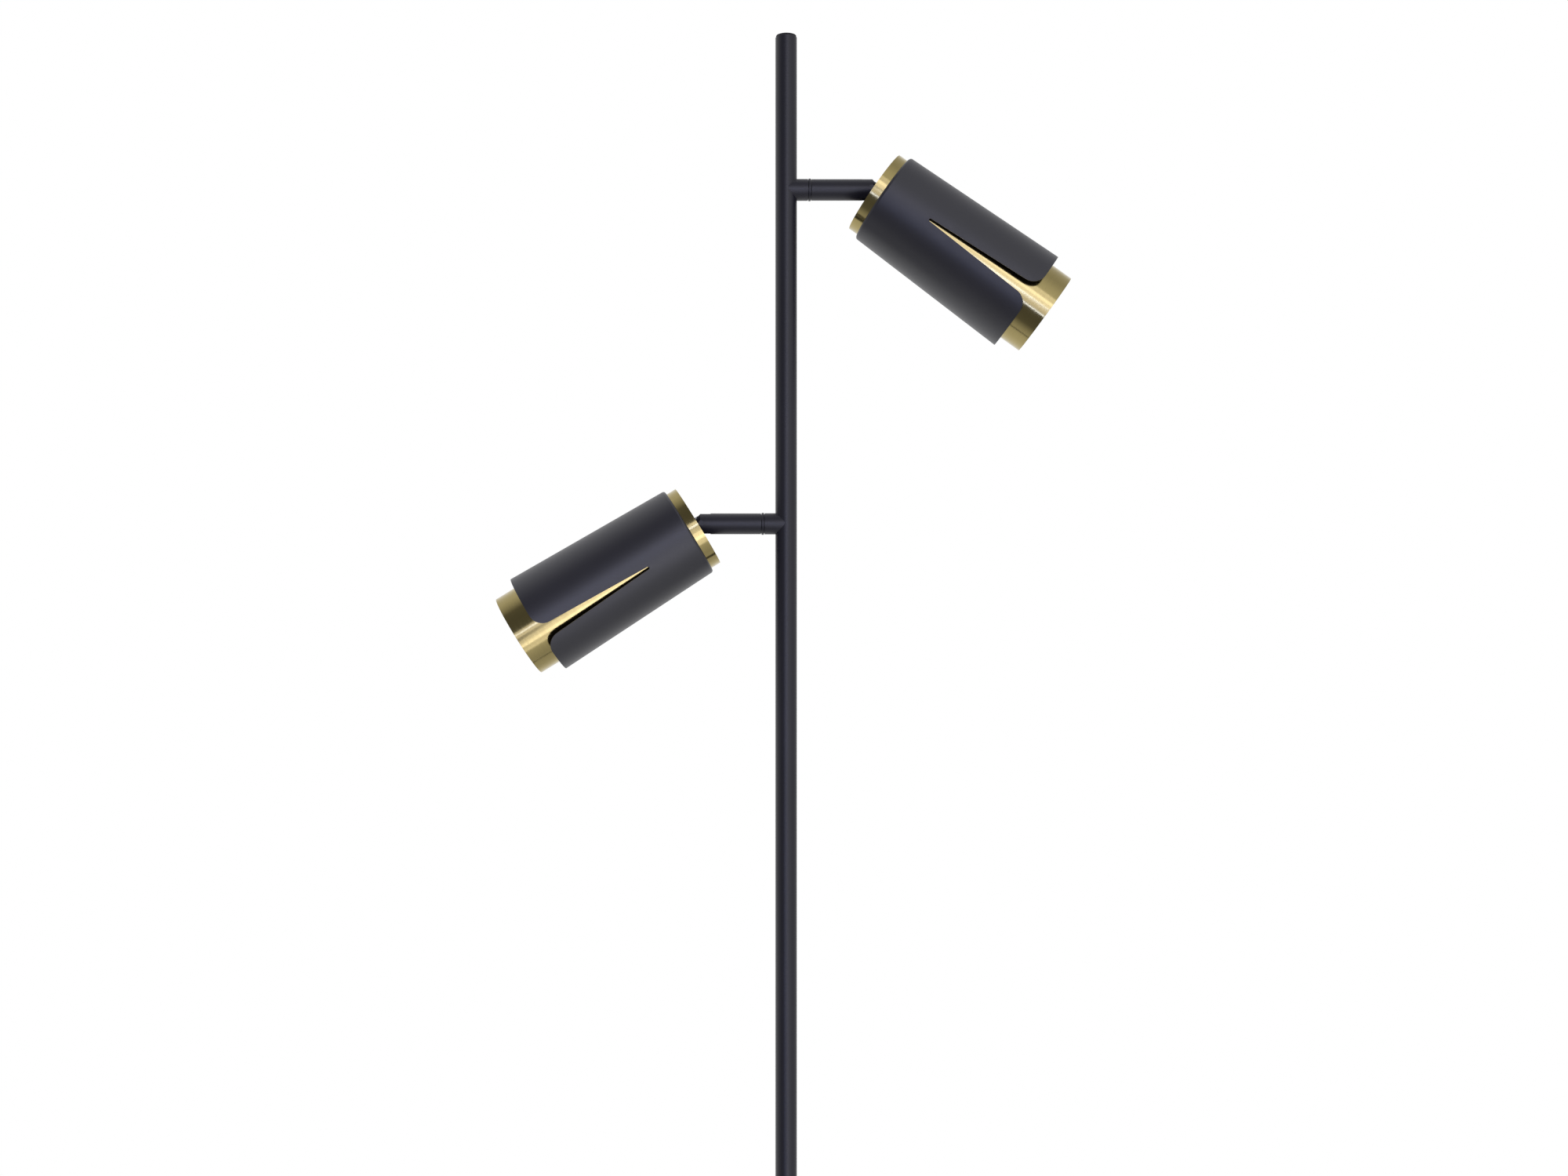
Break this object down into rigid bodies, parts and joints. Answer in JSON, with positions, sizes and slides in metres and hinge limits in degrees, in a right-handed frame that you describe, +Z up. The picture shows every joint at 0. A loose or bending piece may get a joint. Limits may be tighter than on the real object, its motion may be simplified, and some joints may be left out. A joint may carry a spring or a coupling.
{
  "type": "tension pole lamp",
  "caption": "Slim black floor-to-ceiling pole with short side arms, each carrying a tilting spot head: a brass barrel in a flared, slit black sleeve.",
  "frame": {"origin": "centre of the floor pad's underside, on the pole's axis", "axes": "+Z up along the pole; the upper head stands out along +X, the lower one along -X; the view of the picture looks along +Y"},
  "size_m": [0.427, 0.078, 2.4],
  "materials": {
    "black_powder_coat": "satin fine-textured powder coat",
    "satin_brass": "brushed round, satin",
    "blackened_aluminium": "black anodised",
    "ground_steel": "centreless ground",
    "zinc_steel": "bright zinc",
    "spring_steel": "oiled wire",
    "turned_brass": "as turned",
    "black_acetal": "turned, satin",
    "black_rubber": "matt moulded",
    "nylon": "natural",
    "lead_insulation": "extruded",
    "white_ceramic": "unglazed",
    "lamp_aluminium": "satin",
    "lamp_glass": "clear, lightly frosted inside",
    "nickel_pins": "nickel plated"
  },
  "bodies": {
    "pole": {"pole_upper": "black_powder_coat", "pole_lower": "black_powder_coat", "pole_joint_spigot": "ground_steel", "top_plug": "ground_steel", "ceiling_pad": "black_rubber", "cable_grommet": "black_rubber", "pole_wiring": "lead_insulation", "guide_bush": "black_powder_coat", "spring_stop": "ground_steel", "spring_stop_pin": "ground_steel", "tension_spring": "spring_steel", "arm_stubs": "black_powder_coat", "swivel_nipples": "turned_brass", "swivel_rings": "black_powder_coat", "swivel_spring_washers": "zinc_steel", "swivel_nuts": "zinc_steel"},
    "plunger": {"plunger": "ground_steel"},
    "foot": {"foot_plate": "black_powder_coat", "floor_pad": "black_rubber"},
    "hand_nut": {"jack_nut": "black_powder_coat"},
    "upper_arm": {"upper_arm": "black_powder_coat", "upper_arm_bush": "black_acetal", "upper_tilt_pin": "black_powder_coat", "upper_tilt_washers": "nylon", "upper_arm_lead": "lead_insulation"},
    "upper_head": {"upper_back_plate": "black_powder_coat", "upper_barrel": "satin_brass", "upper_head_screws": "zinc_steel", "upper_holder_bracket": "zinc_steel", "upper_holder_leads": "lead_insulation", "upper_knuckle_screws": "zinc_steel", "upper_lamp_body": "lamp_aluminium", "upper_lamp_clip": "spring_steel", "upper_lamp_lens": "lamp_glass", "upper_lamp_pins": "nickel_pins", "upper_lamp_ring": "blackened_aluminium", "upper_lampholder": "white_ceramic", "upper_sleeve": "black_powder_coat", "upper_sleeve_collar": "blackened_aluminium", "upper_tongue": "black_powder_coat"},
    "lower_arm": {"lower_arm": "black_powder_coat", "lower_arm_bush": "black_acetal", "lower_tilt_pin": "black_powder_coat", "lower_tilt_washers": "nylon", "lower_arm_lead": "lead_insulation"},
    "lower_head": {"lower_back_plate": "black_powder_coat", "lower_barrel": "satin_brass", "lower_head_screws": "zinc_steel", "lower_holder_bracket": "zinc_steel", "lower_holder_leads": "lead_insulation", "lower_knuckle_screws": "zinc_steel", "lower_lamp_body": "lamp_aluminium", "lower_lamp_clip": "spring_steel", "lower_lamp_lens": "lamp_glass", "lower_lamp_pins": "nickel_pins", "lower_lamp_ring": "blackened_aluminium", "lower_lampholder": "white_ceramic", "lower_sleeve": "black_powder_coat", "lower_sleeve_collar": "blackened_aluminium", "lower_tongue": "black_powder_coat"}
  },
  "joints": [
    {"name": "tension_slide", "type": "slide", "parent": "pole", "child": "plunger", "axis": [0, 0, 1], "range_m": [0, 0.02], "stiffness_N_per_m": 3600, "springref_m": -0.022, "deforming": ["tension_spring"]},
    {"name": "jack_slide", "type": "slide", "parent": "plunger", "child": "foot", "axis": [0, 0, -1], "range_m": [-0.008, 0.012]},
    {"name": "hand_nut_turn", "type": "hinge", "parent": "foot", "child": "hand_nut", "pos_m": [0, 0, 0.026], "axis": [0, 0, 1], "range_deg": [-3457, 2305]},
    {"name": "upper_arm_swivel", "type": "hinge", "parent": "pole", "child": "upper_arm", "pos_m": [0.0188, 0, 2.2855], "axis": [1, 0, 0], "range_deg": [-170, 170]},
    {"name": "upper_head_tilt", "type": "hinge", "parent": "upper_arm", "child": "upper_head", "pos_m": [0.0633, 0, 2.2855], "axis": [0, 1, 0], "range_deg": [-114, 43]},
    {"name": "lower_arm_swivel", "type": "hinge", "parent": "pole", "child": "lower_arm", "pos_m": [-0.0188, 0, 2.0368], "axis": [1, 0, 0], "range_deg": [-170, 170]},
    {"name": "lower_head_tilt", "type": "hinge", "parent": "lower_arm", "child": "lower_head", "pos_m": [-0.0633, 0, 2.0368], "axis": [0, -1, 0], "range_deg": [-110, 47]}
  ],
  "couplings": [
    {"joint": "hand_nut_turn", "follows": "jack_slide", "rad_per_m": -5026.5}
  ]
}
